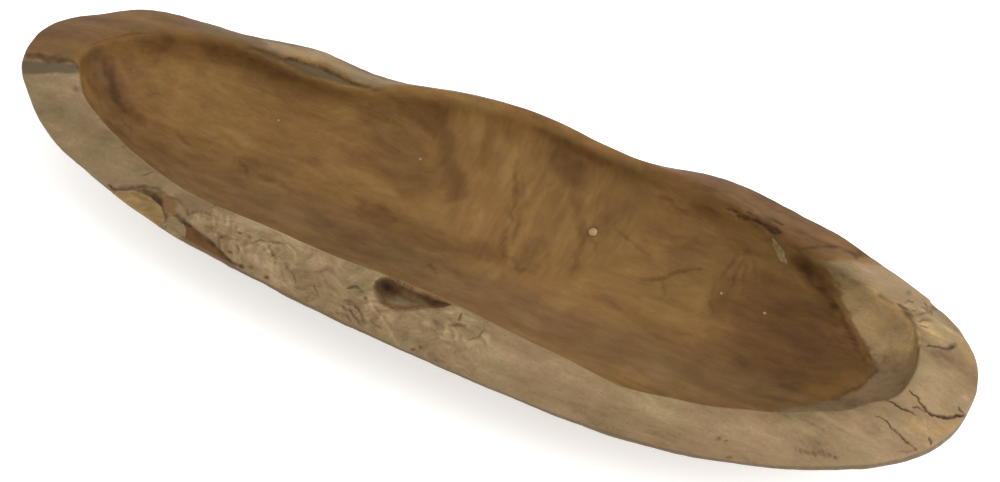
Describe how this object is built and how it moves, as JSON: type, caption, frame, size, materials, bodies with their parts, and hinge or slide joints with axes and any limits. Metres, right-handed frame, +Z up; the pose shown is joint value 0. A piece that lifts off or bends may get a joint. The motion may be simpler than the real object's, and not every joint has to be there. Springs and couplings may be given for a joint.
{
  "type": "wooden fruit bowl",
  "caption": "Long dugout wooden fruit bowl hollowed from one log, with a wide natural-edge rim, a flat base and fills set flush into the wood.",
  "frame": {"origin": "under the middle of the bowl, on the surface that it stands on", "axes": "+X along the log to its fuller end, +Y to the far side with the wavy rim, +Z up"},
  "size_m": [0.8158, 0.2666, 0.086],
  "materials": {
    "oiled_teak": "satin oil over hand-carved grain",
    "pale_plug": "satin end grain",
    "grey_putty": "matt wood putty",
    "golden_wood": "satin oil",
    "pale_chip": "satin oil",
    "pin_filler": "matt wood putty"
  },
  "bodies": {
    "root": {"bowl_body": "oiled_teak", "knot_plug": "pale_plug", "bark_putty": "grey_putty", "edge_patch": "golden_wood", "edge_chip": "pale_chip", "pin_fill_1": "pin_filler", "pin_fill_2": "pin_filler", "pin_fill_3": "pin_filler", "pin_fill_4": "pin_filler"}
  },
  "joints": []
}
